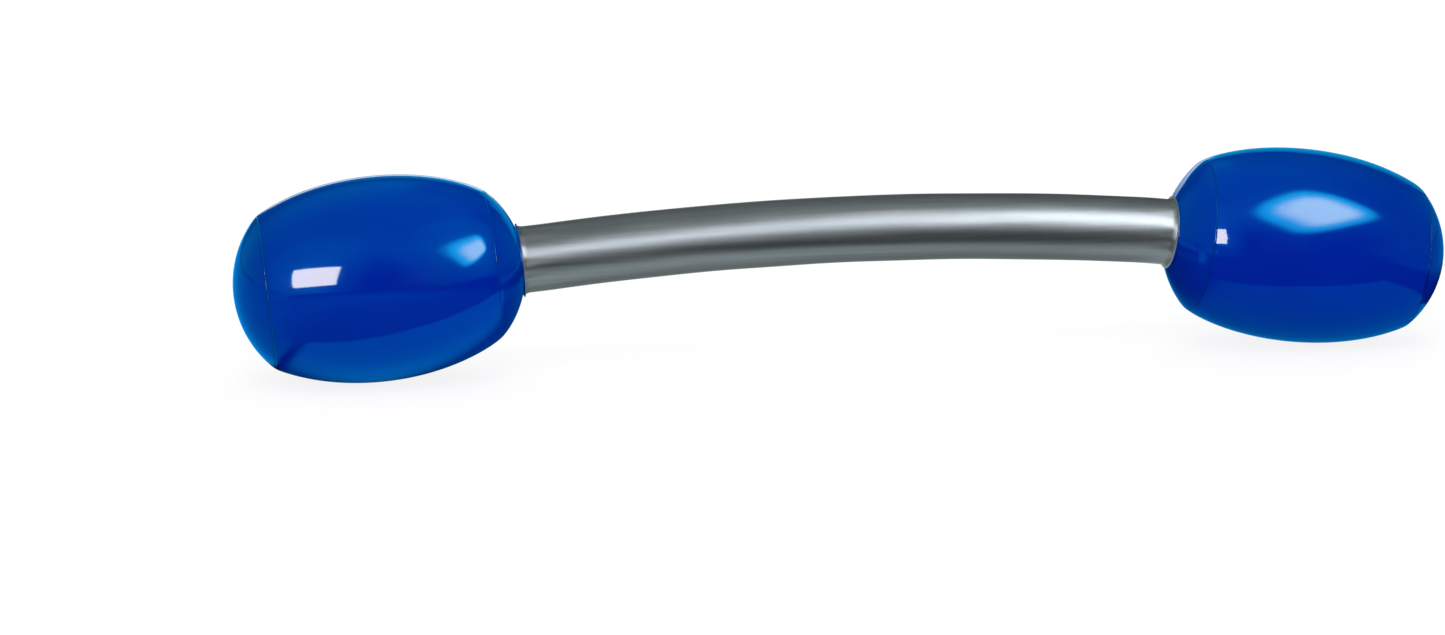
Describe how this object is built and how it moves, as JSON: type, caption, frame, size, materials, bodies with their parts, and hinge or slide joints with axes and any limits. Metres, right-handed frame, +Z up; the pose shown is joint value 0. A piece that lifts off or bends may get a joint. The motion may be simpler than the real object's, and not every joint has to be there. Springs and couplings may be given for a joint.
{
  "type": "inflatable pugil baton",
  "caption": "Inflatable pugil baton: an arched satin silver film handle that opens at each end into a welded, glossy blue bulb, with a push-in air valve behind a bulb.",
  "frame": {"origin": "on the floor, midway between the bulbs' ends and sides", "axes": "+X along the baton towards the right bulb, +Y towards the valve's side, +Z up"},
  "size_m": [1.1096, 0.1814, 0.1822],
  "materials": {
    "silver_film": "satin silver pigmented vinyl film, softly metallic",
    "blue_film": "glossy translucent blue vinyl film",
    "valve_vinyl": "milky soft vinyl, smooth moulded"
  },
  "bodies": {
    "baton": {"handle_tube": "silver_film", "left_inner_cap": "blue_film", "left_barrel": "blue_film", "left_outer_cap": "blue_film", "right_inner_cap": "blue_film", "right_barrel": "blue_film", "right_outer_cap": "blue_film", "valve_base": "valve_vinyl", "valve_skirt": "valve_vinyl"},
    "stem": {"valve_stem": "valve_vinyl"},
    "plug": {"valve_plug": "valve_vinyl", "plug_strap": "valve_vinyl"},
    "flap": {"check_flap": "valve_vinyl"}
  },
  "joints": [
    {"name": "valve_pull", "type": "slide", "parent": "baton", "child": "stem", "axis": [0.2036, 0.9788, 0.0223], "range_m": [0, 0.0105], "deforming": ["valve_skirt"]},
    {"name": "plug_fold", "type": "hinge", "parent": "stem", "child": "plug", "pos_m": [-0.37352, 0.08629, 0.10714], "axis": [0.973, -0.2048, 0.1066], "range_deg": [0, 150]},
    {"name": "flap_fold", "type": "hinge", "parent": "stem", "child": "flap", "pos_m": [-0.37574, 0.07263, 0.10116], "axis": [-0.973, 0.2048, -0.1066], "range_deg": [0, 60], "stiffness_Nm_per_rad": 0.00002}
  ]
}
